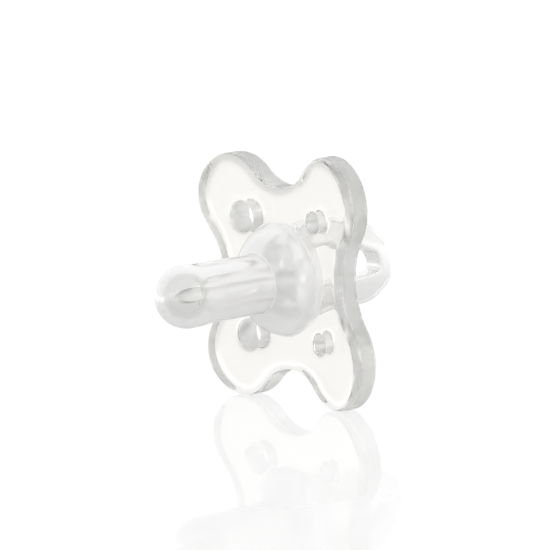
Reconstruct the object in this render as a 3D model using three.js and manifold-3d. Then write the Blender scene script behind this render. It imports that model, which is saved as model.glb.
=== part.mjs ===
// A baby's pacifier moulded in clear silicone: a thick butterfly shield with four vents, a hollow teat on
// its mouth side and a soft loop handle on its outer side.
// Millimetres, +Z up. +Y runs from the mouth out through the handle, along the teat's axis. +X runs from the
// nose side of the shield to the chin side, and Z is across the face. The origin is where the teat's axis
// meets the shield's mouth face. The pacifier stands on the lobes of one side, as it does on a table.

import * as THREE from 'three';
import { mergeVertices } from 'three/addons/utils/BufferGeometryUtils.js';
import Module from 'manifold-3d';

// Shield outline: four round lobes joined by four hollow waists.
const shieldWidth = 46;            // across the face, lobe to lobe
const lobeRadius = 8.75;
const noseLobeOffset = 12.4;       // lobe centres from the axis, on the nose side
const chinLobeOffset = 14.25;      // and on the chin side
const sideWaistRadius = 9.2;       // the hollows at the two cheeks
const noseWaistOffset = 16.4;      // deepest place of the hollow under the nose, from the axis
const chinWaistOffset = 17.22;     // and of the hollow over the chin

// Shield section.
const shieldThickness = 5.1;
const mouthEdgeRadius = 1.8;
const outerEdgeRadius = 0.9;
const dishRadiusUpDown = 100;      // the shield is dished towards the mouth, more from nose to chin
const dishRadiusAcross = 300;      // than across the face

// Vents.
const noseVentRadius = 2.95;
const chinVentRadius = 1.9;
const ventEdgeRadius = 0.35;
const noseVentInset = 2.65;        // how far each vent's centre lies from its lobe's centre, towards the axis
const chinVentInset = 3.6;
const ventDrop = 3.1;              // and towards the mid-line across the face

// Teat.
const teatLength = 27.8;           // from the shield's mouth face to the tip
const teatTipRadius = 5.8;
const teatNeckRadius = 5.6;
const domeRadius = 10.4;
const domeDepth = 6.5;
const domeTurn = 0.8;              // share of the dome's quarter turn that is kept before the neck
const domeBlendLength = 1.4;       // the hollow between dome and neck
const boreRadius = 2.1;
const boreTipWall = 2.5;           // silicone left in front of the bore
const boreNoseLength = 7.5;        // the bullet end of the bore

// Loop handle: two broad arms, flat across X, that meet in a thinner bend and sag a little.
const handleReach = 20.5;          // from the shield's outer face to the back of the loop
const handleFootLift = 6.5;        // the arms' middle lines from the teat's axis, where they meet the shield
const handleArmThickness = 5.4;
const handleBendThickness = 2.9;
const handleBendShare = 0.2;       // share of the loop's length, on each side of the bend, where it thins
const handleWidth = 4.6;
const handleEdgeRadius = 0.6;

// The middle line from the upper foot to the lower one: how far out, as a share of the bend's reach, and Z.
const handleBend = handleReach - handleBendThickness / 2;
const handleLine = [
  [0, handleFootLift],
  [0.2, handleFootLift + 0.8],
  [0.48, 7.7],
  [0.81, 5.2],
  [0.96, 3.1],
  [1, -2.2],
  [0.84, -3.9],
  [0.48, -4.6],
  [0.2, -handleFootLift + 1],
  [0, -handleFootLift],
];

const jointGap = 0.3;              // between neighbouring bodies

// How finely round things are divided.
const lobeSteps = 13;
const waistSteps = 6;
const faceRings = 4;
const edgeSteps = 3;
const ventSteps = 28;
const teatSteps = 44;
const tipSteps = 9;
const domeSteps = 8;
const strapSteps = 48;

const wasm = await Module();
wasm.setup();

// How far the dished shield lies towards the mouth at a place on its face.
function dish(x, z) {
  return -(x * x) / (2 * dishRadiusUpDown) - (z * z) / (2 * dishRadiusAcross);
}

function toSolid(geometry) {
  const bare = geometry.clone();
  bare.deleteAttribute('normal');
  bare.deleteAttribute('uv');
  const merged = mergeVertices(bare, 1e-4);
  return new wasm.Manifold(new wasm.Mesh({
    numProp: 3,
    vertProperties: new Float32Array(merged.attributes.position.array),
    triVerts: new Uint32Array(merged.index.array),
  }));
}

function toGeometry(solid) {
  const mesh = solid.getMesh();
  const geometry = new THREE.BufferGeometry();
  geometry.setAttribute('position', new THREE.BufferAttribute(new Float32Array(mesh.vertProperties), 3));
  geometry.setIndex(new THREE.BufferAttribute(new Uint32Array(mesh.triVerts), 1));
  geometry.computeVertexNormals();
  return geometry;
}

// A lathe turned about the Y axis, as LatheGeometry makes it, moved to a place on the shield.
function turned(profile, steps, x = 0, z = 0) {
  const geometry = new THREE.LatheGeometry(profile, steps);
  geometry.translate(x, 0, z);
  return toSolid(geometry);
}

// Centre of the hollow circle that touches two lobes from outside, on the side of their line given by side.
function hollowCentre(a, b, radius, side) {
  const line = b.clone().sub(a);
  const across = new THREE.Vector2(-line.y, line.x).normalize().multiplyScalar(side);
  const reach = lobeRadius + radius;
  const height = Math.sqrt(reach * reach - line.lengthSq() / 4);
  return a.clone().add(b).multiplyScalar(0.5).addScaledVector(across, height);
}

// Points and outward normals along an arc from one direction to another, leaving out the last point.
function arc(centre, radius, from, to, steps, hollow) {
  const side = hollow ? -1 : 1;
  let sweep = (to - from) * side;
  sweep = ((sweep % (2 * Math.PI)) + 2 * Math.PI) % (2 * Math.PI);
  return Array.from({ length: steps }, (_, i) => {
    const angle = from + (side * sweep * i) / steps;
    const normal = new THREE.Vector2(Math.cos(angle), Math.sin(angle));
    return {
      point: centre.clone().addScaledVector(normal, radius),
      normal: normal.multiplyScalar(side),
    };
  });
}

const lobeLift = shieldWidth / 2 - lobeRadius;
const lobes = [
  new THREE.Vector2(chinLobeOffset, lobeLift),
  new THREE.Vector2(-noseLobeOffset, lobeLift),
  new THREE.Vector2(-noseLobeOffset, -lobeLift),
  new THREE.Vector2(chinLobeOffset, -lobeLift),
];

// Radius of the hollow that touches both lobes of the nose or chin side and is deepest at an offset from the axis.
function waistRadius(lobeOffset, waistOffset) {
  const past = waistOffset - lobeOffset;
  return (lobeLift ** 2 + past ** 2 - lobeRadius ** 2) / (2 * (lobeRadius - past));
}

const noseWaistRadius = waistRadius(noseLobeOffset, noseWaistOffset);
const chinWaistRadius = waistRadius(chinLobeOffset, chinWaistOffset);
const waistRadii = [sideWaistRadius, noseWaistRadius, sideWaistRadius, chinWaistRadius];

// The closed butterfly outline, anticlockwise in (x, z).
function butterflyOutline() {
  const hollows = lobes.map((lobe, i) => hollowCentre(lobe, lobes[(i + 1) % 4], waistRadii[i], -1));
  const direction = (from, to) => Math.atan2(to.y - from.y, to.x - from.x);
  return lobes.flatMap((lobe, i) => {
    const before = hollows[(i + 3) % 4];
    const after = hollows[i];
    const next = lobes[(i + 1) % 4];
    return [
      ...arc(lobe, lobeRadius, direction(lobe, before), direction(lobe, after), lobeSteps, false),
      ...arc(after, waistRadii[i], direction(after, lobe), direction(after, next), waistSteps, true),
    ];
  });
}

// The shield without its holes: rings of the outline from the middle of the mouth face, round the edge,
// to the middle of the outer face, each dished.
function shieldBlank(shift = 0) {
  const outline = butterflyOutline();
  const sections = [];
  for (let i = 1; i < faceRings; i++) {
    sections.push({ scale: i / faceRings, inset: mouthEdgeRadius, y: 0 });
  }
  for (let i = 0; i <= edgeSteps; i++) {
    const angle = (Math.PI / 2) * (i / edgeSteps);
    sections.push({
      scale: 1,
      inset: mouthEdgeRadius * (1 - Math.sin(angle)),
      y: mouthEdgeRadius * (1 - Math.cos(angle)),
    });
  }
  for (let i = 0; i <= edgeSteps; i++) {
    const angle = (Math.PI / 2) * (i / edgeSteps);
    sections.push({
      scale: 1,
      inset: outerEdgeRadius * (1 - Math.cos(angle)),
      y: shieldThickness - outerEdgeRadius * (1 - Math.sin(angle)),
    });
  }
  for (let i = faceRings - 1; i > 0; i--) {
    sections.push({ scale: i / faceRings, inset: outerEdgeRadius, y: shieldThickness });
  }
  const vertices = [0, shift, 0];
  for (const { scale, inset, y } of sections) {
    for (const { point, normal } of outline) {
      const x = (point.x - inset * normal.x) * scale;
      const z = (point.y - inset * normal.y) * scale;
      vertices.push(x, y + dish(x, z) + shift, z);
    }
  }
  vertices.push(0, shieldThickness + shift, 0);
  const count = outline.length;
  const last = 1 + sections.length * count;
  const faces = [];
  for (let i = 0; i < count; i++) {
    const next = (i + 1) % count;
    faces.push(0, 1 + i, 1 + next);
    faces.push(last, last - count + next, last - count + i);
    for (let ring = 0; ring + 1 < sections.length; ring++) {
      const near = 1 + ring * count;
      const far = near + count;
      faces.push(near + i, far + i, far + next);
      faces.push(near + i, far + next, near + next);
    }
  }
  const geometry = new THREE.BufferGeometry();
  geometry.setAttribute('position', new THREE.Float32BufferAttribute(vertices, 3));
  geometry.setIndex(faces);
  return toSolid(geometry);
}

// A cutter for a round hole through the shield with rounded rims.
function ventCutter(radius, x, z) {
  const mouth = dish(x, z);
  const outer = mouth + shieldThickness;
  const wide = radius + ventEdgeRadius;
  const rim = (start, sign) => Array.from({ length: edgeSteps + 1 }, (_, i) => {
    const angle = (Math.PI / 2) * (i / edgeSteps);
    return new THREE.Vector2(
      wide - ventEdgeRadius * Math.sin(angle),
      start + sign * ventEdgeRadius * (1 - Math.cos(angle)),
    );
  });
  const clear = 1;                 // how far the cutter stands out of each face
  const profile = [
    new THREE.Vector2(0, mouth - clear),
    new THREE.Vector2(wide, mouth - clear),
    ...rim(mouth, 1),
    ...rim(outer, -1).reverse(),
    new THREE.Vector2(wide, outer + clear),
    new THREE.Vector2(0, outer + clear),
  ];
  return turned(profile, ventSteps, x, z);
}

const noseVentX = -noseLobeOffset + noseVentInset;
const chinVentX = chinLobeOffset - chinVentInset;
const ventZ = lobeLift - ventDrop;

function makeShield() {
  let solid = shieldBlank();
  for (const side of [1, -1]) {
    solid = solid.subtract(ventCutter(noseVentRadius, noseVentX, side * ventZ));
    solid = solid.subtract(ventCutter(chinVentRadius, chinVentX, side * ventZ));
  }
  const bore = turned([
    new THREE.Vector2(0, -shieldThickness),
    new THREE.Vector2(boreRadius, -shieldThickness),
    new THREE.Vector2(boreRadius, 2 * shieldThickness),
    new THREE.Vector2(0, 2 * shieldThickness),
  ], ventSteps);
  return toGeometry(solid.subtract(bore));
}

// The teat's outside and bore as one turned profile, open where the bore leaves through the shield.
function makeTeat() {
  const tipCentre = -(teatLength - teatTipRadius);
  const root = shieldThickness / 2;
  const profile = [];
  const boreTip = -(teatLength - boreTipWall);
  for (let i = 0; i <= tipSteps; i++) {
    const along = i / tipSteps;
    profile.push(new THREE.Vector2(
      boreRadius * Math.sqrt(1 - (1 - along) ** 2),
      boreTip + boreNoseLength * along,
    ));
  }
  profile.push(new THREE.Vector2(boreRadius, root));
  profile.push(new THREE.Vector2(domeRadius, root));
  const neckJoin = -domeDepth * Math.sqrt(1 - (teatNeckRadius / domeRadius) ** 2);
  for (let i = 0; i <= domeSteps; i++) {
    const angle = (Math.PI / 2) * domeTurn * (i / domeSteps);
    const radius = domeRadius * Math.cos(angle);
    const y = -domeDepth * Math.sin(angle);
    if (y > neckJoin + domeBlendLength / 2) profile.push(new THREE.Vector2(radius, y));
  }
  profile.push(new THREE.Vector2(teatNeckRadius, neckJoin - domeBlendLength));
  profile.push(new THREE.Vector2(teatNeckRadius, (neckJoin - domeBlendLength + tipCentre) / 2));
  for (let i = 0; i <= tipSteps; i++) {
    const angle = (Math.PI / 2) * (i / tipSteps);
    profile.push(new THREE.Vector2(
      teatTipRadius * Math.cos(angle) * (i === tipSteps ? 0 : 1),
      tipCentre - teatTipRadius * Math.sin(angle),
    ));
  }
  profile.reverse();
  return toGeometry(turned(profile, teatSteps).subtract(shieldBlank(-jointGap)));
}

// The loop's outline in (y, z): its middle line, then both sides at half the thickness from it.
function handleOutline() {
  const foot = shieldThickness / 2;  // the arms start inside the shield and are trimmed at its face
  const middle = new THREE.CatmullRomCurve3([
    new THREE.Vector3(foot, handleFootLift, 0),
    ...handleLine.map(([share, z]) => new THREE.Vector3(shieldThickness + share * handleBend, z, 0)),
    new THREE.Vector3(foot, -handleFootLift, 0),
  ], false, 'centripetal');
  const outer = [];
  const inner = [];
  for (let i = 0; i <= strapSteps; i++) {
    const share = i / strapSteps;
    const point = middle.getPointAt(share);
    const along = middle.getTangentAt(share);
    const slim = THREE.MathUtils.smoothstep(1 - Math.abs(share - 0.5) / handleBendShare, 0, 1);
    const half = THREE.MathUtils.lerp(handleArmThickness, handleBendThickness, slim) / 2;
    outer.push(new THREE.Vector2(point.x - half * along.y, point.y + half * along.x));
    inner.push(new THREE.Vector2(point.x + half * along.y, point.y - half * along.x));
  }
  return [...outer, ...inner.reverse()];
}

function makeHandle() {
  const geometry = new THREE.ExtrudeGeometry(new THREE.Shape(handleOutline()), {
    depth: handleWidth - 2 * handleEdgeRadius,
    bevelEnabled: true,
    bevelThickness: handleEdgeRadius,
    bevelSize: handleEdgeRadius,
    bevelOffset: -handleEdgeRadius,
    bevelSegments: 2,
    steps: 1,
  });
  geometry.translate(0, 0, -(handleWidth / 2 - handleEdgeRadius));
  // The shape is drawn in (y, z) and extruded along its third axis: turn (1, 2, 3) into (y, z, x).
  geometry.applyMatrix4(new THREE.Matrix4().set(
    0, 0, 1, 0,
    1, 0, 0, 0,
    0, 1, 0, 0,
    0, 0, 0, 1,
  ));
  return toGeometry(toSolid(geometry).subtract(shieldBlank(jointGap)));
}

const clearSilicone = { color: 0xf2f1ee, metalness: 0, transparent: true };
const glossy = new THREE.MeshStandardMaterial({ ...clearSilicone, roughness: 0.12, opacity: 0.55 });
const satin = new THREE.MeshStandardMaterial({ ...clearSilicone, roughness: 0.35, opacity: 0.65 });
const soft = new THREE.MeshStandardMaterial({ ...clearSilicone, roughness: 0.15, opacity: 0.55 });

const group = new THREE.Group();
for (const [name, geometry, material] of [
  ['shield', makeShield(), glossy],
  ['teat', makeTeat(), satin],
  ['handle_loop', makeHandle(), soft],
]) {
  const mesh = new THREE.Mesh(geometry, material);
  mesh.name = name;
  group.add(mesh);
}

export default group;
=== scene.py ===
"""A clear silicone pacifier: butterfly shield, hollow teat and soft loop handle, on a pale studio floor.

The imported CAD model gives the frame. Every surface here is worked out with numpy in the same frame: +Y runs
along the teat's axis and out of the mouth, +X from the nose side of the shield to the chin side, +Z across
the face. Sizes are in millimetres until a mesh is written, and metres after that.
"""

import logging
import math
from dataclasses import dataclass
from enum import Enum

import bpy
import numpy as np
from mathutils import Matrix, Vector
from mathutils.geometry import delaunay_2d_cdt

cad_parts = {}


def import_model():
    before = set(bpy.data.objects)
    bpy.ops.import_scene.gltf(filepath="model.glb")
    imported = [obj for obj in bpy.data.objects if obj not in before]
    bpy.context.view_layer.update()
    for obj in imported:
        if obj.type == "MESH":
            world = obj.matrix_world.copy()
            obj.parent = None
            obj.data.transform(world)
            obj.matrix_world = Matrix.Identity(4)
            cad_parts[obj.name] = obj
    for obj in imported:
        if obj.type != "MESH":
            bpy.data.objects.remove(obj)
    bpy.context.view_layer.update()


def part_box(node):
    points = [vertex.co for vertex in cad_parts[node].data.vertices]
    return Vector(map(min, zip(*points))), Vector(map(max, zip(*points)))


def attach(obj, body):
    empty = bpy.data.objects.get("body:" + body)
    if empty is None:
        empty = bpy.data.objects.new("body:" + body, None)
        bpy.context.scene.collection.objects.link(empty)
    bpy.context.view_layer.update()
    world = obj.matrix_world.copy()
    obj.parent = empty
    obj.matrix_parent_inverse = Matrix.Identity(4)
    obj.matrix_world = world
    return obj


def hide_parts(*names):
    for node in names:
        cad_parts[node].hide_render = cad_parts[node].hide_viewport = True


MM = 0.001
ROOT_BODY = "root"

log = logging.getLogger("pacifier")


# ---------------------------------------------------------------- surfaces


class Skin:
    """Grids and triangle patches gathered into one mesh, with matching edges welded."""

    WELD = 1e-4

    def __init__(self) -> None:
        """Starts with no patches."""
        self.points: list[np.ndarray] = []
        self.quads: list[np.ndarray] = []
        self.triangles: list[np.ndarray] = []
        self.count = 0

    def _keep(self, points: np.ndarray) -> int:
        """Stores points in mm and returns the number of the first one."""
        first = self.count
        self.points.append(points.reshape(-1, 3))
        self.count += len(self.points[-1])
        return first

    def grid(self, points: np.ndarray, closed: bool = True, flip: bool = False) -> None:
        """Adds a grid of quads over rings of points.

        Args:
            points: array (rings, points per ring, 3) in mm.
            closed: whether each ring's last point joins its first.
            flip: whether the faces are turned over.
        """
        rings, around, _ = points.shape
        first = self._keep(points)
        ring = np.arange(rings - 1)[:, None] * around
        here = np.arange(around if closed else around - 1)[None, :]
        after = (here + 1) % around
        quad = np.stack([ring + here, ring + after, ring + around + after, ring + around + here], -1)
        quad = quad.reshape(-1, 4) + first
        self.quads.append(quad[:, ::-1] if flip else quad)

    def patch(self, points: np.ndarray, triangles: np.ndarray) -> None:
        """Adds loose triangles over their own points, in mm."""
        self.triangles.append(triangles + self._keep(points))

    def build(self, name: str) -> bpy.types.Object:
        """Welds what meets, drops faces that closed up, and makes the object.

        Args:
            name: the object's name.

        Returns:
            The object, smooth shaded, in metres, at the origin.
        """
        points = np.concatenate(self.points)
        _, chosen, index = np.unique(
            np.round(points / self.WELD).astype(np.int64), axis=0, return_index=True, return_inverse=True
        )
        index = index.reshape(-1)
        faces = []
        for quad in self.quads:
            quad = index[quad]
            gap = quad != np.roll(quad, 1, axis=1)
            whole = gap.all(1)
            faces.extend(quad[whole].tolist())
            for corner in range(4):
                pinched = quad[(~gap[:, corner]) & (gap.sum(1) == 3)]
                faces.extend(np.delete(pinched, corner, axis=1).tolist())
        for triangle in self.triangles:
            faces.extend(index[triangle].tolist())
        mesh = bpy.data.meshes.new(name)
        mesh.from_pydata((points[chosen] * MM).tolist(), [], faces)
        mesh.polygons.foreach_set("use_smooth", np.ones(len(faces), bool))
        mesh.update()
        piece = bpy.data.objects.new(name, mesh)
        bpy.context.scene.collection.objects.link(piece)
        log.info("%s: %d points, %d faces", name, len(chosen), len(faces))
        return piece


def circle(x: float, z: float, radius: float, count: int) -> np.ndarray:
    """A circle in the shield's plane, anticlockwise, as (count, 2) places (x, z)."""
    turn = np.linspace(0, 2 * np.pi, count, endpoint=False)
    return np.stack([x + radius * np.cos(turn), z + radius * np.sin(turn)], 1)


def eased(share: np.ndarray) -> np.ndarray:
    """A share held between 0 and 1 and eased at both ends: three times its square less twice its cube."""
    share = np.clip(share, 0, 1)
    return share * share * (3 - 2 * share)


def quarter(steps: int) -> tuple[np.ndarray, np.ndarray]:
    """Sine and cosine of a quarter turn, in even steps from 0 to 90 degrees."""
    turn = np.linspace(0, np.pi / 2, steps + 1)
    return np.sin(turn), np.cos(turn)


def inside(places: np.ndarray, loop: np.ndarray) -> np.ndarray:
    """Whether each place lies inside a closed loop, by counting the edges crossed by a ray along +x."""
    ax, az = loop[:, 0], loop[:, 1]
    bx, bz = np.roll(ax, -1), np.roll(az, -1)
    px, pz = places[:, :1], places[:, 1:]
    spans = (az > pz) != (bz > pz)
    reach = ax + (pz - az) * (bx - ax) / np.where(bz == az, 1e-12, bz - az)
    return (spans & (px < reach)).sum(1) % 2 == 1


def clearance(places: np.ndarray, loop: np.ndarray) -> np.ndarray:
    """Distance from each place to the nearest point of a loop."""
    return np.min(np.linalg.norm(places[:, None] - loop[None], axis=2), axis=1)


def fill(outer: np.ndarray, holes: list[np.ndarray], spacing: float) -> tuple[np.ndarray, np.ndarray]:
    """Triangles over a flat region with holes: its loops, and an even hexagonal grid between them.

    Args:
        outer: the outer loop (n, 2), anticlockwise.
        holes: the loops left open.
        spacing: distance between the points of the grid.

    Returns:
        The places (m, 2), with the loops first, and anticlockwise triangles (k, 3).
    """
    low, high = outer.min(0), outer.max(0)
    xs = np.arange(low[0], high[0], spacing)
    zs = np.arange(low[1], high[1], spacing * math.sqrt(3) / 2)
    grid = np.stack(np.meshgrid(xs, zs), -1)
    grid[1::2, :, 0] += spacing / 2
    grid = grid.reshape(-1, 2)
    keep = inside(grid, outer) & (clearance(grid, outer) > 0.7 * spacing)
    for hole in holes:
        keep &= ~inside(grid, hole) & (clearance(grid, hole) > 0.7 * spacing)
    loops = [outer, *holes]
    places = np.concatenate([*loops, grid[keep]])
    edges, first = [], 0
    for loop in loops:
        number = np.arange(len(loop))
        edges.append(np.stack([number, (number + 1) % len(loop)], 1) + first)
        first += len(loop)
    found = delaunay_2d_cdt(
        [Vector(place) for place in places], np.concatenate(edges).tolist(), [], 0, 1e-9
    )
    places = np.array([tuple(v) for v in found[0]])
    triangles = np.array(found[2])
    middle = places[triangles].mean(1)
    keep = inside(middle, outer)
    for hole in holes:
        keep &= ~inside(middle, hole)
    triangles = triangles[keep]
    a, b, c = places[triangles[:, 0]], places[triangles[:, 1]], places[triangles[:, 2]]
    cross = (b[:, 0] - a[:, 0]) * (c[:, 1] - a[:, 1]) - (b[:, 1] - a[:, 1]) * (c[:, 0] - a[:, 0])
    triangles[cross < 0] = triangles[cross < 0][:, ::-1]
    return places, triangles


class Face(Enum):
    """The two faces of the shield."""

    MOUTH = "mouth"
    OUTER = "outer"


@dataclass
class Butterfly:
    """The shield's outline and section, in mm: four lobes, four waists, dished towards the mouth.

    A vent's centre lies from its lobe's centre by the vent drop towards the mid-line across the face, and by
    the nose or chin vent's inset towards the teat's axis.
    """

    width: float
    lobe_radius: float = 8.75
    nose_lobe: float = 12.4
    chin_lobe: float = 14.25
    side_waist: float = 9.2
    nose_waist: float = 15.0
    chin_waist: float = 11.706
    thickness: float = 5.1
    dish_up_down: float = 100.0
    dish_across: float = 300.0
    vent_drop: float = 3.1
    nose_vent: float = 2.65
    chin_vent: float = 3.6
    step: float = 0.36

    @property
    def lobe_lift(self) -> float:
        """How far the lobes' centres lie from the mid-line across the face."""
        return self.width / 2 - self.lobe_radius

    def depth(self, places: np.ndarray, face: Face) -> np.ndarray:
        """Y of a face: minus x squared over twice one radius, minus z squared over twice the other."""
        x, z = places[..., 0], places[..., 1]
        dish = -(x**2) / (2 * self.dish_up_down) - z**2 / (2 * self.dish_across)
        return dish + (self.thickness if face is Face.OUTER else 0.0)

    def on(self, places: np.ndarray, face: Face, lift: np.ndarray | float = 0.0) -> np.ndarray:
        """Places (x, z) put on a face, as points (x, y, z), lifted by some Y."""
        return np.stack([places[..., 0], self.depth(places, face) + lift, places[..., 1]], -1)

    def outline(self) -> tuple[np.ndarray, np.ndarray]:
        """The butterfly as tangent arcs, anticlockwise: its places (n, 2) and outward normals (n, 2)."""
        lift = self.lobe_lift
        lobes = np.array(
            [
                [self.chin_lobe, lift],
                [-self.nose_lobe, lift],
                [-self.nose_lobe, -lift],
                [self.chin_lobe, -lift],
            ]
        )
        radii = np.array([self.side_waist, self.nose_waist, self.side_waist, self.chin_waist])
        line = np.roll(lobes, -1, axis=0) - lobes
        half = np.linalg.norm(line, axis=1) / 2
        outward = np.stack([line[:, 1], -line[:, 0]], 1) / (2 * half[:, None])
        height = np.sqrt((self.lobe_radius + radii) ** 2 - half**2)
        hollows = lobes + line / 2 + outward * height[:, None]
        places, normals = [], []
        for i in range(4):
            before, after = hollows[i - 1], hollows[i]
            for centre, radius, start, end, way in (
                (lobes[i], self.lobe_radius, before - lobes[i], after - lobes[i], 1),
                (after, radii[i], lobes[i] - after, lobes[(i + 1) % 4] - after, -1),
            ):
                from_angle = math.atan2(start[1], start[0])
                sweep = (math.atan2(end[1], end[0]) - from_angle) * way % (2 * math.pi)
                count = max(8, round(sweep * radius / self.step))
                angle = from_angle + way * sweep * np.arange(count) / count
                normal = np.stack([np.cos(angle), np.sin(angle)], 1)
                places.append(centre + radius * normal)
                normals.append(way * normal)
        return np.concatenate(places), np.concatenate(normals)


@dataclass
class Vent:
    """A round hole through the shield with rounded rims, in mm."""

    x: float
    z: float
    radius: float
    rim: float = 0.55
    around: int = 72

    def loop(self) -> np.ndarray:
        """The rim's outer circle, where it meets a face."""
        return circle(self.x, self.z, self.radius + self.rim, self.around)

    def wall(self, plate: Butterfly) -> np.ndarray:
        """The hole's skin from the mouth face to the outer face: a cylinder between two quarter rounds."""
        sine, cosine = quarter(steps=6)
        centre = np.array([self.x, self.z])
        out = (self.loop() - centre) / (self.radius + self.rim)
        rings = []
        for reach, lift in zip(self.radius + self.rim * (1 - sine), self.rim * (1 - cosine)):
            rings.append(plate.on(centre + out * reach, Face.MOUTH, lift))
        for share in (0.25, 0.5, 0.75):
            places = centre + out * self.radius
            near = plate.on(places, Face.MOUTH, self.rim)
            far = plate.on(places, Face.OUTER, -self.rim)
            rings.append(near * (1 - share) + far * share)
        for reach, lift in zip(
            (self.radius + self.rim * (1 - sine))[::-1], (self.rim * (1 - cosine))[::-1]
        ):
            rings.append(plate.on(centre + out * reach, Face.OUTER, -lift))
        return np.stack(rings)


@dataclass
class Shield:
    """The butterfly plate with its edge, its vents and openings where the teat and the handle join."""

    plate: Butterfly
    vents: list[Vent]
    mouth_edge: float = 1.8
    outer_edge: float = 1.0
    grid: float = 0.8

    def build(self, dome_loop: np.ndarray, outer_loops: list[np.ndarray]) -> bpy.types.Object:
        """Makes the shield.

        Args:
            dome_loop: the places (x, z) where the teat's dome meets the mouth face.
            outer_loops: the places where the bore and the handle's feet meet the outer face.

        Returns:
            The shield's object.
        """
        skin = Skin()
        places, normals = self.plate.outline()
        vents = [vent.loop() for vent in self.vents]
        mouth, triangles = fill(places - self.mouth_edge * normals, [*vents, dome_loop], self.grid)
        skin.patch(self.plate.on(mouth, Face.MOUTH), triangles)
        outer, triangles = fill(places - self.outer_edge * normals, [*vents, *outer_loops], self.grid)
        skin.patch(self.plate.on(outer, Face.OUTER), triangles[:, ::-1])
        skin.grid(self.edge(places, normals), flip=True)
        for vent in self.vents:
            skin.grid(vent.wall(self.plate))
        return skin.build("shield_skin")

    def edge(self, places: np.ndarray, normals: np.ndarray) -> np.ndarray:
        """Rings round the rim: a quarter round at the mouth face, the wall, and a tighter quarter round."""
        sine, cosine = quarter(steps=8)
        rings = []
        for inset, lift in zip(self.mouth_edge * (1 - sine), self.mouth_edge * (1 - cosine)):
            rings.append(self.plate.on(places - inset * normals, Face.MOUTH, lift))
        near = self.plate.on(places, Face.MOUTH, self.mouth_edge)
        far = self.plate.on(places, Face.OUTER, -self.outer_edge)
        for share in (0.2, 0.4, 0.6, 0.8):
            rings.append(near * (1 - share) + far * share)
        for inset, lift in zip(
            (self.outer_edge * (1 - sine))[::-1], (self.outer_edge * (1 - cosine))[::-1]
        ):
            rings.append(self.plate.on(places - inset * normals, Face.OUTER, -lift))
        return np.stack(rings)


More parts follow.
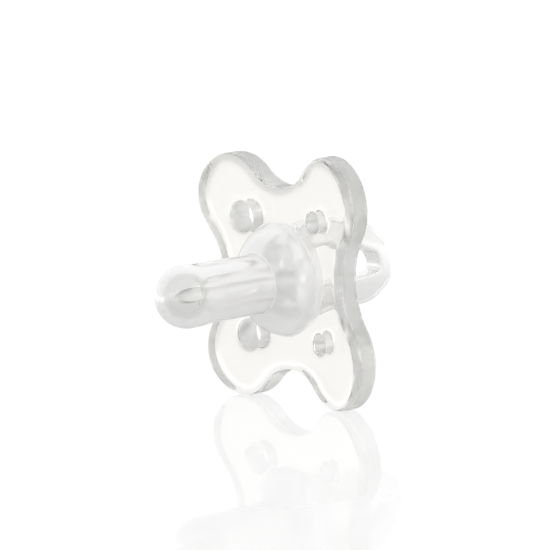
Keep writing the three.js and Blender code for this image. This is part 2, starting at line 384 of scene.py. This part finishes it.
@dataclass
class Teat:
    """The solid dome, neck and bulb, turned about the Y axis, with a bullet-ended bore."""

    plate: Butterfly
    length: float
    tip_radius: float = 5.8
    neck_radius: float = 5.55
    dome_radius: float = 10.4
    dome_depth: float = 6.5
    blend: float = 0.9
    root_fillet: float = 0.35
    bore_radius: float = 2.1
    bore_tip_wall: float = 2.5
    bore_nose: float = 7.5
    bore_rim: float = 0.3
    bore_drop: float = 0.3
    bore_taper: float = 0.8
    waist_length: float = 5.0
    milk_start: float = 6.2
    root_rings: int = 6
    dish_rings: int = 24
    side_rings: int = 90
    bore_rings: int = 30
    nose_rings: int = 24
    around: int = 144

    def dome_loop(self) -> np.ndarray:
        """Where the dome's root meets the mouth face."""
        return circle(0, 0, self.dome_radius + self.root_fillet, self.around)

    def bore_loop(self) -> np.ndarray:
        """Where the bore's rim meets the outer face."""
        return circle(0, 0, self.bore_radius + self.bore_rim, self.around)

    def outside(self, y: np.ndarray) -> np.ndarray:
        """Radius at a depth: the larger of a half ellipse (dome) and a rod with a round end (neck and bulb),
        blended where they meet, with a hollow fillet at the root."""
        dome = self.dome_radius * np.sqrt(np.clip(1 - (y / self.dome_depth) ** 2, 0, None))
        centre = -(self.length - self.tip_radius)
        bulb = np.sqrt(np.clip(self.tip_radius**2 - np.clip(y - centre, None, 0) ** 2, 0, None))
        bulb = bulb - (self.tip_radius - self.neck_radius) * eased((y - centre) / self.waist_length)
        gap = np.clip(self.blend - np.abs(dome - bulb), 0, None)
        radius = np.maximum(dome, bulb) + gap**2 / (4 * self.blend)
        toe = np.clip(1 + y / self.root_fillet, 0, 1)
        return radius + self.root_fillet * (1 - np.sqrt(1 - toe**2))

    def turned(self, radius: np.ndarray, points: np.ndarray) -> np.ndarray:
        """Rings about the Y axis, through places with this radius and Y."""
        turn = np.linspace(0, 2 * np.pi, self.around, endpoint=False)
        shape = (len(radius), self.around)
        return np.stack(
            [
                radius[:, None] * np.cos(turn),
                np.broadcast_to(points[:, None], shape),
                radius[:, None] * np.sin(turn),
            ],
            -1,
        )

    def build(self) -> bpy.types.Object:
        """Makes the teat: its outside from root to tip, and its bore from the outer face to the bullet end.

        Returns:
            The teat's object.
        """
        skin = Skin()
        tip_centre = -(self.length - self.tip_radius)
        root = np.linspace(0, -self.root_fillet, self.root_rings, endpoint=False)
        sides = np.linspace(-self.root_fillet, tip_centre, self.side_rings, endpoint=False)
        sine, _ = quarter(steps=28)
        tip = tip_centre - self.tip_radius * sine
        y = np.concatenate([root, sides, tip])
        radius = self.outside(y)
        radius[-1] = 0.0
        rings = self.turned(radius, y)
        fade = np.concatenate([np.ones(self.root_rings), np.linspace(1, 0, self.dish_rings)])[:, None]
        near = rings[: len(fade)]
        near[..., 1] += self.plate.depth(near[..., [0, 2]], Face.MOUTH) * fade
        skin.grid(rings, flip=True)
        rim_sine, rim_cosine = quarter(steps=5)
        lip = self.bore_radius + self.bore_rim * (1 - rim_sine)
        lip_y = -self.bore_rim * (1 - rim_cosine)
        mouth = self.turned(lip, lip_y)
        mouth[..., 1] += self.plate.depth(mouth[..., [0, 2]], Face.OUTER)
        nose_start = -(self.length - self.bore_tip_wall - self.bore_nose)
        barrel_start = self.plate.thickness - self.bore_rim - self.bore_drop
        barrel = np.linspace(barrel_start, nose_start, self.bore_rings)
        nose = np.linspace(0, 1, self.nose_rings + 1)[1:]
        nose_y = nose_start - self.bore_nose * np.sin(nose * np.pi / 2)
        nose_radius = self.bore_radius * np.cos(nose * np.pi / 2) ** self.bore_taper
        nose_radius[-1] = 0.0
        tube_radius = np.concatenate([np.full(self.bore_rings, self.bore_radius), nose_radius])
        tube = self.turned(tube_radius, np.concatenate([barrel, nose_y]))
        skin.grid(np.concatenate([mouth, tube]))
        return skin.build("teat_skin")

    def dress(self, piece: bpy.types.Object, finishes: list[bpy.types.Material]) -> None:
        """Gives the teat its finishes.

        Args:
            piece: the teat's object.
            finishes: the dome's, then the neck and bulb's, then the bore's.
        """
        for finish in finishes:
            piece.data.materials.append(finish)
        slack = 0.1
        border = -self.milk_start * MM
        bore = (self.bore_radius + self.bore_rim + slack) * MM
        bore_tip = -(self.length - self.bore_tip_wall + slack) * MM
        for face in piece.data.polygons:
            middle = face.center
            if math.hypot(middle.x, middle.z) < bore and middle.y > bore_tip:
                face.material_index = 2
            else:
                face.material_index = int(middle.y < border)


@dataclass
class HandleLoop:
    """A broad soft loop behind the shield: two flat arms that meet in a thinner bend and sag a little.

    The reach is how far the back of the loop lies past the outer face. The arms' middle line and thickness
    are set in the plane of the loop, as Y past the outer face and Z, and the loop is flat across X. The
    smooth line runs past its places at the bend by the overshoot.
    """

    plate: Butterfly
    reach: float
    foot_lift: float = 6.5
    foot_spread: float = 0.8
    foot_pinch: float = 1.0
    upper_belly: float = 7.7
    upper_elbow: float = 5.2
    bend_top: float = 3.1
    bend_low: float = -2.2
    lower_elbow: float = -3.9
    lower_belly: float = -4.6
    arm_thickness: float = 5.4
    bend_thickness: float = 2.9
    strap_width: float = 4.6
    corner: float = 0.34
    foot_fillet: float = 0.8
    overshoot: float = 0.45
    slim_share: float = 0.2
    foot_share: float = 0.08
    dish_fade: float = 6.0
    around: int = 56
    along: int = 170

    def places(self) -> np.ndarray:
        """The points that the middle line runs through, from the upper foot to the lower one.

        Each is set by its share of the bend's reach and its height Z.
        """
        bend = self.reach - self.overshoot - self.bend_thickness / 2
        line = np.array(
            [
                (0.0, self.foot_lift),
                (0.2, self.foot_lift + self.foot_spread),
                (0.48, self.upper_belly),
                (0.81, self.upper_elbow),
                (0.96, self.bend_top),
                (1.0, self.bend_low),
                (0.84, self.lower_elbow),
                (0.48, self.lower_belly),
                (0.2, -self.foot_lift + self.foot_pinch),
                (0.0, -self.foot_lift),
            ]
        )
        return line * (bend, 1.0)

    def path(self) -> tuple[np.ndarray, np.ndarray, np.ndarray]:
        """A smooth curve through the places.

        Each span is a cubic from one place to the next. Its slope at a place is the chord between that
        place's two neighbours, shared by the lengths of the spans.

        Returns:
            Share of the length from 0 to 1, Y past the outer face and Z, evenly spaced along the curve.
        """
        knots = self.places()
        span = np.linalg.norm(np.diff(knots, axis=0), axis=1)
        at = np.concatenate([[0.0], np.cumsum(span)])
        slope = np.empty_like(knots)
        chord = np.diff(knots, axis=0) / span[:, None]
        before, after = span[:-1, None], span[1:, None]
        slope[1:-1] = (chord[:-1] * after + chord[1:] * before) / (before + after)
        slope[0], slope[-1] = (1.0, 0.0), (-1.0, 0.0)
        where = np.linspace(0, at[-1], 40 * len(knots))
        i = np.clip(np.searchsorted(at, where, side="right") - 1, 0, len(span) - 1)
        t = ((where - at[i]) / span[i])[:, None]
        length = span[i][:, None]
        fine = (
            (1 + 2 * t) * (1 - t) ** 2 * knots[i]
            + t * (1 - t) ** 2 * length * slope[i]
            + t * t * (3 - 2 * t) * knots[i + 1]
            + t * t * (t - 1) * length * slope[i + 1]
        )
        run = np.concatenate([[0.0], np.cumsum(np.linalg.norm(np.diff(fine, axis=0), axis=1))])
        share = np.linspace(0, 1, self.along)
        return share, np.interp(share * run[-1], run, fine[:, 0]), np.interp(share * run[-1], run, fine[:, 1])

    def section(self) -> np.ndarray:
        """The strap's section, a rounded rectangle as a superellipse.

        Returns:
            Places (x, outward), for a half width and a half thickness of 1.
        """
        turn = np.linspace(0, 2 * np.pi, self.around, endpoint=False)
        c, s = np.cos(turn), np.sin(turn)
        return np.stack([np.sign(c) * np.abs(c) ** self.corner, np.sign(s) * np.abs(s) ** self.corner], 1)

    def rings(self) -> np.ndarray:
        """Rings of the strap from foot to foot, lying on the shield's outer face at both ends."""
        share, y, z = self.path()
        dy, dz = np.gradient(y), np.gradient(z)
        length = np.hypot(dy, dz)
        out_y, out_z = -dz / length, dy / length
        from_foot = np.minimum(share, 1 - share)
        settle = eased(from_foot / self.foot_share)
        upper = share < 0.5
        out_y = out_y * settle
        out_z = np.where(upper, 1.0, -1.0) * (1 - settle) + out_z * settle
        slim = eased(1 - np.abs(share - 0.5) / self.slim_share)
        thickness = self.arm_thickness + (self.bend_thickness - self.arm_thickness) * slim
        toe = np.where(from_foot < self.slim_share, np.clip(1 - y / self.foot_fillet, 0, 1), 0)
        grow = self.foot_fillet * (1 - np.sqrt(np.clip(1 - toe**2, 0, None)))
        section = self.section()
        x = section[None, :, 0] * (self.strap_width / 2 + grow)[:, None]
        offset = section[None, :, 1] * (thickness / 2 + grow)[:, None]
        points = np.stack([x, y[:, None] + offset * out_y[:, None], z[:, None] + offset * out_z[:, None]], -1)
        fade = np.clip(1 - y / self.dish_fade, 0, 1)[:, None]
        face = self.plate.depth(points[..., [0, 2]], Face.OUTER) - self.plate.thickness
        points[..., 1] += self.plate.thickness + face * fade
        return points

    def feet(self) -> list[np.ndarray]:
        """The loops where the two feet meet the outer face."""
        rings = self.rings()
        return [rings[0][:, [0, 2]], rings[-1][:, [0, 2]]]

    def build(self) -> bpy.types.Object:
        """Makes the handle."""
        skin = Skin()
        skin.grid(self.rings())
        return skin.build("handle_skin")


# ---------------------------------------------------------------- finishes


def mould_surface() -> bpy.types.NodeTree:
    """The shared look of moulded silicone, as a shader node group.

    The tint goes from Face Tint to a greyer tint of painted shade by a mask, with slow milky clouds.
    The roughness goes from Polish to Satin by the Satin mask, with faint smears. A fine grain and slow waves,
    the trace of the mould's tool, give the normal.

    Returns:
        The group, made once.
    """
    name = "mould_surface"
    if name in bpy.data.node_groups:
        return bpy.data.node_groups[name]
    group = bpy.data.node_groups.new(name, "ShaderNodeTree")
    face = group.interface
    face.new_socket("Position", in_out="INPUT", socket_type="NodeSocketVector")
    for label, value in (
        ("Face Tint", (0.98, 0.98, 0.975, 1)),
        ("Deep Tint", (0.75, 0.75, 0.74, 1)),
    ):
        face.new_socket(label, in_out="INPUT", socket_type="NodeSocketColor").default_value = value
    for label, value in (
        ("Deep", 0.0),
        ("Satin", 0.0),
        ("Polish Roughness", 0.03),
        ("Satin Roughness", 0.3),
        ("Cloud", 0.02),
        ("Grain", 0.1),
        ("Wave", 0.1),
    ):
        face.new_socket(label, in_out="INPUT", socket_type="NodeSocketFloat").default_value = value
    face.new_socket("Color", in_out="OUTPUT", socket_type="NodeSocketColor")
    face.new_socket("Roughness", in_out="OUTPUT", socket_type="NodeSocketFloat")
    face.new_socket("Normal", in_out="OUTPUT", socket_type="NodeSocketVector")
    nodes, links = group.nodes, group.links
    into, out = nodes.new("NodeGroupInput"), nodes.new("NodeGroupOutput")

    def noise(scale: float, detail: float) -> bpy.types.Node:
        """A noise over the position."""
        node = nodes.new("ShaderNodeTexNoise")
        node.inputs["Scale"].default_value = scale
        node.inputs["Detail"].default_value = detail
        links.new(into.outputs["Position"], node.inputs["Vector"])
        return node

    clouds, grain, wave = noise(scale=130, detail=3), noise(scale=2600, detail=2), noise(scale=170, detail=1)
    # Painted shade: the mask blends Face Tint towards the greyer shade tint.
    blend = nodes.new("ShaderNodeMix")
    blend.data_type = "RGBA"
    links.new(into.outputs["Deep"], blend.inputs["Factor"])
    links.new(into.outputs["Face Tint"], blend.inputs["A"])
    links.new(into.outputs["Deep Tint"], blend.inputs["B"])
    shade = nodes.new("ShaderNodeMath")
    shade.operation = "MULTIPLY"
    links.new(clouds.outputs["Fac"], shade.inputs[0])
    links.new(into.outputs["Cloud"], shade.inputs[1])
    light = nodes.new("ShaderNodeMath")
    light.operation = "SUBTRACT"
    light.inputs[0].default_value = 1.0
    links.new(shade.outputs[0], light.inputs[1])
    tint = nodes.new("ShaderNodeVectorMath")
    tint.operation = "SCALE"
    links.new(blend.outputs["Result"], tint.inputs[0])
    links.new(light.outputs[0], tint.inputs["Scale"])
    links.new(tint.outputs[0], out.inputs["Color"])
    rough = nodes.new("ShaderNodeMix")
    links.new(into.outputs["Satin"], rough.inputs["Factor"])
    links.new(into.outputs["Polish Roughness"], rough.inputs["A"])
    links.new(into.outputs["Satin Roughness"], rough.inputs["B"])
    smear = nodes.new("ShaderNodeMapRange")
    smear.inputs["To Min"].default_value = 0.85
    smear.inputs["To Max"].default_value = 1.15
    links.new(clouds.outputs["Fac"], smear.inputs["Value"])
    product = nodes.new("ShaderNodeMath")
    product.operation = "MULTIPLY"
    links.new(rough.outputs["Result"], product.inputs[0])
    links.new(smear.outputs["Result"], product.inputs[1])
    links.new(product.outputs[0], out.inputs["Roughness"])
    grain_depth, wave_depth = 0.02 * MM, 0.2 * MM
    fine = nodes.new("ShaderNodeBump")
    fine.inputs["Distance"].default_value = grain_depth
    links.new(into.outputs["Grain"], fine.inputs["Strength"])
    links.new(grain.outputs["Fac"], fine.inputs["Height"])
    slow = nodes.new("ShaderNodeBump")
    slow.inputs["Distance"].default_value = wave_depth
    links.new(into.outputs["Wave"], slow.inputs["Strength"])
    links.new(wave.outputs["Fac"], slow.inputs["Height"])
    links.new(fine.outputs["Normal"], slow.inputs["Normal"])
    links.new(slow.outputs["Normal"], out.inputs["Normal"])
    return group


class Reading(Enum):
    """What a mask is read from at each place of a surface."""

    WALL = "how far the surface has turned away from the teat's axis"
    TIP = "how far out along the teat"
    HUB = "how near the teat's axis, seen along it"


@dataclass(frozen=True)
class Mask:
    """A mask over a surface: 0 at one reading, 1 at another, smooth between."""

    reading: Reading
    start: float
    end: float

    def place(self, tree: bpy.types.NodeTree, place: bpy.types.Node) -> bpy.types.NodeSocket:
        """Adds the mask's nodes.

        Args:
            tree: the material's nodes.
            place: its Texture Coordinate node.

        Returns:
            The mask, 0 to 1.
        """
        reach = tree.nodes.new("ShaderNodeMapRange")
        reach.interpolation_type = "SMOOTHSTEP"
        if self.reading is Reading.HUB:
            flat = tree.nodes.new("ShaderNodeVectorMath")
            flat.operation = "MULTIPLY"
            flat.inputs[1].default_value = (1, 0, 1)
            tree.links.new(place.outputs["Object"], flat.inputs[0])
            size = tree.nodes.new("ShaderNodeVectorMath")
            size.operation = "LENGTH"
            tree.links.new(flat.outputs[0], size.inputs[0])
            tree.links.new(size.outputs["Value"], reach.inputs["Value"])
            scale = MM
        else:
            wall = self.reading is Reading.WALL
            split = tree.nodes.new("ShaderNodeSeparateXYZ")
            tree.links.new(place.outputs["Normal" if wall else "Object"], split.inputs[0])
            turned = tree.nodes.new("ShaderNodeMath")
            turned.operation = "ABSOLUTE" if wall else "MULTIPLY"
            if not wall:
                turned.inputs[1].default_value = -1.0
            tree.links.new(split.outputs["Y"], turned.inputs[0])
            tree.links.new(turned.outputs[0], reach.inputs["Value"])
            scale = 1.0 if wall else MM
        reach.inputs["From Min"].default_value = self.start * scale
        reach.inputs["From Max"].default_value = self.end * scale
        return reach.outputs["Result"]


@dataclass(frozen=True)
class Silicone:
    """Clear moulded silicone: its tints, smoothness and clearness, where it turns satin, and its painted
    shade.
    """

    name: str
    # The mask of painted shade: where the tint is painted greyer.
    painted_shade_mask: Mask
    satin: Mask
    hub: Mask | None = None
    face_tint: tuple[float, float, float] = (0.985, 0.98, 0.972)
    painted_shade_tint: tuple[float, float, float] = (0.74, 0.74, 0.73)
    polish: float = 0.02
    rough: float = 0.3
    cloud: float = 0.03
    grain: float = 0.01
    wave: float = 0.03
    clearness: float = 0.95
    refraction: float = 1.41
    # Painted shade: edge and the two settings after it paint a dark rim into the tint where the surface is
    # seen edge-on.
    edge: float = 0.8
    painted_rim_shade_start: float = 0.72
    painted_rim_shade_tint: tuple[float, float, float] = (0.3, 0.3, 0.295)

    def material(self) -> bpy.types.Material:
        """Builds the node material."""
        material = bpy.data.materials.new(self.name)
        material.use_nodes = True
        tree = material.node_tree
        shader = tree.nodes["Principled BSDF"]
        place = tree.nodes.new("ShaderNodeTexCoord")
        look = tree.nodes.new("ShaderNodeGroup")
        look.node_tree = mould_surface()
        tree.links.new(place.outputs["Object"], look.inputs["Position"])
        tree.links.new(self.painted_shade_mask.place(tree, place), look.inputs["Deep"])
        satin = self.satin.place(tree, place)
        if self.hub is not None:
            larger = tree.nodes.new("ShaderNodeMath")
            larger.operation = "MAXIMUM"
            tree.links.new(satin, larger.inputs[0])
            tree.links.new(self.hub.place(tree, place), larger.inputs[1])
            satin = larger.outputs[0]
        tree.links.new(satin, look.inputs["Satin"])
        look.inputs["Face Tint"].default_value = (*self.face_tint, 1)
        look.inputs["Deep Tint"].default_value = (*self.painted_shade_tint, 1)
        for label, value in (
            ("Polish Roughness", self.polish),
            ("Satin Roughness", self.rough),
            ("Cloud", self.cloud),
            ("Grain", self.grain),
            ("Wave", self.wave),
        ):
            look.inputs[label].default_value = value
        # Painted shade: Layer Weight darkens the base colour where the surface is seen edge-on, a dark rim
        # along every silhouette.
        graze = tree.nodes.new("ShaderNodeLayerWeight")
        graze.inputs["Blend"].default_value = 0.5
        edge = tree.nodes.new("ShaderNodeMapRange")
        edge.interpolation_type = "SMOOTHSTEP"
        edge.inputs["From Min"].default_value = self.painted_rim_shade_start
        edge.inputs["From Max"].default_value = 1.0
        edge.inputs["To Max"].default_value = self.edge
        tree.links.new(graze.outputs["Facing"], edge.inputs["Value"])
        painted_rim_shade = tree.nodes.new("ShaderNodeMix")
        painted_rim_shade.data_type = "RGBA"
        painted_rim_shade.inputs["B"].default_value = (*self.painted_rim_shade_tint, 1)
        tree.links.new(edge.outputs["Result"], painted_rim_shade.inputs["Factor"])
        tree.links.new(look.outputs["Color"], painted_rim_shade.inputs["A"])
        tree.links.new(painted_rim_shade.outputs["Result"], shader.inputs["Base Color"])
        tree.links.new(look.outputs["Roughness"], shader.inputs["Roughness"])
        tree.links.new(look.outputs["Normal"], shader.inputs["Normal"])
        shader.inputs["IOR"].default_value = self.refraction
        shader.inputs["Transmission Weight"].default_value = self.clearness
        return material


def finishes() -> dict[str, Silicone]:
    """The silicone of each part: the shield, the dome, the neck and bulb, the bore and the handle."""
    return {
        "shield": Silicone(
            "clear_silicone",
            # Painted shade: the rim's walls, turned away from the teat's axis, are tinted greyer than the
            # faces.
            painted_shade_mask=Mask(Reading.WALL, 0.96, 0.45),
            satin=Mask(Reading.WALL, 0.35, 0.12),
            hub=Mask(Reading.HUB, 10.5, 9.5),
            face_tint=(0.957, 0.947, 0.924),
            painted_shade_tint=(0.88, 0.88, 0.862),
            rough=0.4,
        ),
        "dome": Silicone(
            "dome_silicone",
            # Painted shade: the dome is tinted greyer further out along the teat.
            painted_shade_mask=Mask(Reading.TIP, 0.5, 6.0),
            satin=Mask(Reading.TIP, 4.0, 9.5),
            face_tint=(1.0, 1.0, 1.0),
            painted_shade_tint=(0.77, 0.77, 0.755),
            polish=0.1,
            rough=0.05,
            clearness=0.5,
            painted_rim_shade_start=0.78,
            edge=0.95,
        ),
        "neck": Silicone(
            "milky_silicone",
            # Painted shade: the neck and bulb are tinted a little greyer further out along the teat.
            painted_shade_mask=Mask(Reading.TIP, 4.0, 9.5),
            satin=Mask(Reading.TIP, 4.0, 9.5),
            face_tint=(0.88, 0.88, 0.87),
            painted_shade_tint=(0.81, 0.81, 0.795),
            polish=0.02,
            rough=0.015,
            clearness=0.72,
            painted_rim_shade_start=0.6,
            edge=0.3,
        ),
        "bore": Silicone(
            "bore_silicone",
            # Painted shade, faint: the bore is tinted a touch greyer further out along the teat.
            painted_shade_mask=Mask(Reading.TIP, 4.0, 9.5),
            satin=Mask(Reading.TIP, 4.0, 9.5),
            face_tint=(0.98, 0.98, 0.975),
            painted_shade_tint=(0.97, 0.97, 0.96),
            rough=0.01,
            clearness=0.96,
            painted_rim_shade_start=0.62,
            edge=0.95,
        ),
        "handle_loop": Silicone(
            "loop_silicone",
            # Painted shade: the strap's sides, turned away from the teat's axis, are tinted greyer.
            painted_shade_mask=Mask(Reading.WALL, 0.96, 0.45),
            satin=Mask(Reading.WALL, 0.96, 0.45),
            face_tint=(0.945, 0.945, 0.935),
            painted_shade_tint=(0.86, 0.86, 0.85),
            rough=0.03,
            painted_rim_shade_start=0.42,
            edge=1.0,
            clearness=0.84,
        ),
    }


# ---------------------------------------------------------------- studio


def grey_along(
    tree: bpy.types.NodeTree,
    place: bpy.types.NodeSocket,
    direction: Vector,
    span: tuple[float, float],
    stops: tuple[tuple[float, float], ...],
) -> bpy.types.NodeSocket:
    """Adds nodes for a grey that changes along a direction.

    Args:
        tree: the nodes to add to.
        place: the position or direction that is read.
        direction: the direction, as a unit vector.
        span: the readings that give 0 and 1 on the ramp.
        stops: the ramp, as positions from 0 to 1 and greys, in order.

    Returns:
        The grey, as a colour.
    """
    dot = tree.nodes.new("ShaderNodeVectorMath")
    dot.operation = "DOT_PRODUCT"
    dot.inputs[1].default_value = direction
    shift = tree.nodes.new("ShaderNodeMapRange")
    shift.inputs["From Min"].default_value, shift.inputs["From Max"].default_value = span
    ramp = tree.nodes.new("ShaderNodeValToRGB")
    ends = ramp.color_ramp.elements
    for end, (position, value) in zip((ends[0], ends[1]), (stops[0], stops[-1])):
        end.position = position
        end.color = (value, value, value, 1)
    for position, value in stops[1:-1]:
        ends.new(position).color = (value, value, value, 1)
    tree.links.new(place, dot.inputs[0])
    tree.links.new(dot.outputs["Value"], shift.inputs["Value"])
    tree.links.new(shift.outputs["Result"], ramp.inputs["Fac"])
    return ramp.outputs["Color"]


@dataclass
class Studio:
    """A pale floor, soft light from all round and the camera.

    Lengths are in mm and angles in degrees, but the span of the floor's glow is in metres.
    """

    floor_height: float
    azimuth: float = 50.5
    elevation: float = 8.3
    roll: float = -3.42
    distance: float = 444.0
    aim: tuple[float, float, float] = (-0.73, -0.75, 0.82)
    lens: float = 158.1
    floor_half: float = 3000.0
    floor_grey: float = 0.1
    floor_rough: float = 0.05
    floor_refraction: float = 1.3
    floor_span: tuple[float, float] = (-0.2, 1.8)
    floor_glow: tuple[tuple[float, float], ...] = (
        (0.0, 0.74),
        (0.05, 0.715),
        (0.1, 0.645),
        (0.1225, 0.61),
        (0.1775, 0.548),
        (0.265, 0.477),
        (0.424, 0.37),
        (0.665, 0.265),
        (1.0, 0.195),
    )
    cove: tuple[tuple[float, float], ...] = ((0.14, 1.04), (0.36, 0.95), (0.8, 0.9))
    panel_place: tuple[float, float, float] = (500.0, 0.0, 220.0)
    panel_size: float = 320.0
    panel_power: float = 0.8

    def back(self) -> Vector:
        """The direction from the pacifier to the camera."""
        a, e = math.radians(self.azimuth), math.radians(self.elevation)
        return Vector((math.sin(a) * math.cos(e), -math.cos(a) * math.cos(e), math.sin(e)))

    def floor(self) -> bpy.types.Object:
        """A wide pale floor with a sheen, and a glow of its own that is fainter towards the back."""
        mesh = bpy.data.meshes.new("studio_floor")
        half, height = self.floor_half * MM, self.floor_height * MM
        corners = [(-half, -half), (half, -half), (half, half), (-half, half)]
        mesh.from_pydata([(x, y, height) for x, y in corners], [], [(0, 1, 2, 3)])
        floor = bpy.data.objects.new("studio_floor", mesh)
        bpy.context.scene.collection.objects.link(floor)
        material = bpy.data.materials.new("studio_floor")
        material.use_nodes = True
        shader = material.node_tree.nodes["Principled BSDF"]
        shader.inputs["Base Color"].default_value = (self.floor_grey, self.floor_grey, self.floor_grey, 1)
        shader.inputs["Roughness"].default_value = self.floor_rough
        shader.inputs["IOR"].default_value = self.floor_refraction
        shader.inputs["Emission Strength"].default_value = 1.0
        place = material.node_tree.nodes.new("ShaderNodeTexCoord").outputs["Object"]
        a = math.radians(self.azimuth)
        away = Vector((-math.sin(a), math.cos(a), 0))
        glow = grey_along(material.node_tree, place, away, self.floor_span, self.floor_glow)
        material.node_tree.links.new(glow, shader.inputs["Emission Color"])
        mesh.materials.append(material)
        return floor

    def light(self) -> None:
        """White surroundings, a little greyer behind the camera, and one soft panel on the chin side."""
        world = bpy.data.worlds.new("studio")
        bpy.context.scene.world = world
        world.use_nodes = True
        tree = world.node_tree
        background = tree.nodes["Background"]
        place = tree.nodes.new("ShaderNodeTexCoord").outputs["Generated"]
        white = grey_along(tree, place, self.back(), (-1, 1), self.cove)
        tree.links.new(white, background.inputs["Color"])
        background.inputs["Strength"].default_value = 1.0
        panel = bpy.data.lights.new("soft_panel", "AREA")
        panel.shape = "SQUARE"
        panel.size = self.panel_size * MM
        panel.energy = self.panel_power
        lamp = bpy.data.objects.new("soft_panel", panel)
        bpy.context.scene.collection.objects.link(lamp)
        lamp.location = Vector(self.panel_place) * MM
        lamp.rotation_euler = (-Vector(self.panel_place)).to_track_quat("-Z", "Y").to_euler()

    def camera(self) -> bpy.types.Object:
        """A long lens, a little above the pacifier and rolled slightly."""
        r = math.radians(self.roll)
        back = self.back()
        right = (-back).cross(Vector((0, 0, 1))).normalized()
        up = right.cross(-back)
        rolled_right = math.cos(r) * right + math.sin(r) * up
        rolled_up = math.cos(r) * up - math.sin(r) * right
        matrix = Matrix((rolled_right, rolled_up, back)).transposed().to_4x4()
        matrix.translation = (Vector(self.aim) + back * self.distance) * MM
        data = bpy.data.cameras.new("camera")
        data.lens = self.lens
        data.sensor_width = 36.0
        data.clip_start = 0.01
        data.clip_end = 50.0
        camera = bpy.data.objects.new("camera", data)
        bpy.context.scene.collection.objects.link(camera)
        camera.matrix_world = matrix
        bpy.context.scene.camera = camera
        return camera


def main() -> None:
    """Builds the pacifier, dresses it, and lights it."""
    logging.basicConfig(level=logging.INFO, format="%(name)s: %(message)s")
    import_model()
    plate = Butterfly(width=46.0)
    teat = Teat(plate, length=-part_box("teat")[0].y / MM)
    handle = HandleLoop(plate, reach=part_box("handle_loop")[1].y / MM - plate.thickness)
    nose_radius, chin_radius = 2.95, 1.9
    vents = [
        Vent(x, side * (plate.lobe_lift - plate.vent_drop), radius)
        for side in (1, -1)
        for x, radius in (
            (-plate.nose_lobe + plate.nose_vent, nose_radius),
            (plate.chin_lobe - plate.chin_vent, chin_radius),
        )
    ]
    shield = Shield(plate, vents)
    pieces = [
        (shield.build(teat.dome_loop(), [teat.bore_loop(), *handle.feet()]), "shield"),
        (teat.build(), "teat"),
        (handle.build(), "handle_loop"),
    ]
    dress = finishes()
    for piece, node in pieces:
        if node == "teat":
            teat.dress(piece, [dress[part].material() for part in ("dome", "neck", "bore")])
        else:
            piece.data.materials.append(dress[node].material())
        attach(piece, ROOT_BODY)
        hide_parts(node)
    studio = Studio(floor_height=-23.0)
    studio.floor()
    studio.light()
    studio.camera()
    scene = bpy.context.scene
    scene.view_settings.view_transform = "Standard"
    scene.cycles.max_bounces = 24
    scene.cycles.transmission_bounces = 24
    scene.cycles.glossy_bounces = 12


if __name__ == "__main__":
    main()
